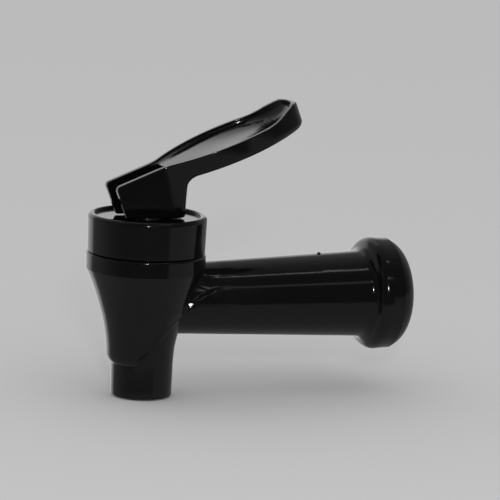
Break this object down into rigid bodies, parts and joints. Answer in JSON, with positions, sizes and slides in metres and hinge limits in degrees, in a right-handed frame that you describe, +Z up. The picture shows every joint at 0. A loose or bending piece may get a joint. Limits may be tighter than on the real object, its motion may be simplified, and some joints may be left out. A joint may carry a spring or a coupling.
{
  "type": "samovar tap",
  "caption": "Self-closing drinks tap with a dished press lever over a barrel that screws to a vessel.",
  "frame": {"origin": "centre of the mouth of the threaded inlet, on the barrel's axis, in the flange's end face", "axes": "+X out of the inlet along the barrel, towards the vessel; +Z up along the valve's axis; +Y across, completing a right-handed frame"},
  "size_m": [0.1072, 0.038, 0.0943],
  "materials": {
    "black_gloss": "glossy moulded",
    "black_cap": "glossy moulded",
    "black_lever": "glossy moulded",
    "brass": "machined",
    "black_rubber": "moulded",
    "acetal_dark": "satin",
    "steel": "drawn wire and pin",
    "silicone": "moulded silicone"
  },
  "bodies": {
    "tap": {"tap_body": "black_gloss", "inlet_insert": "brass", "inlet_seal": "black_rubber", "bonnet_cap": "black_cap", "seat_cup": "silicone", "spring_washer": "steel", "return_spring": "steel"},
    "swivel": {"slip_washer": "acetal_dark"},
    "stem": {"valve_stem": "acetal_dark", "lever_pin": "steel"},
    "lever": {"lever_handle": "black_lever"}
  },
  "joints": [
    {"name": "lever_swivel", "type": "hinge", "parent": "tap", "child": "swivel", "pos_m": [-0.0878, 0, 0.027], "axis": [0, 0, 1], "continuous": true},
    {"name": "stem_lift", "type": "slide", "parent": "swivel", "child": "stem", "axis": [0, 0, 1], "range_m": [0, 0.0037], "deforming": ["return_spring", "seat_cup"]},
    {"name": "lever_press", "type": "hinge", "parent": "stem", "child": "lever", "pos_m": [-0.0878, 0, 0.03145], "axis": [0, 1, 0], "range_deg": [0, 22], "stiffness_Nm_per_rad": 0.18, "springref_deg": -25.78}
  ],
  "couplings": [
    {"joint": "stem_lift", "follows": "lever_press", "m_per_rad": 0.0094}
  ]
}
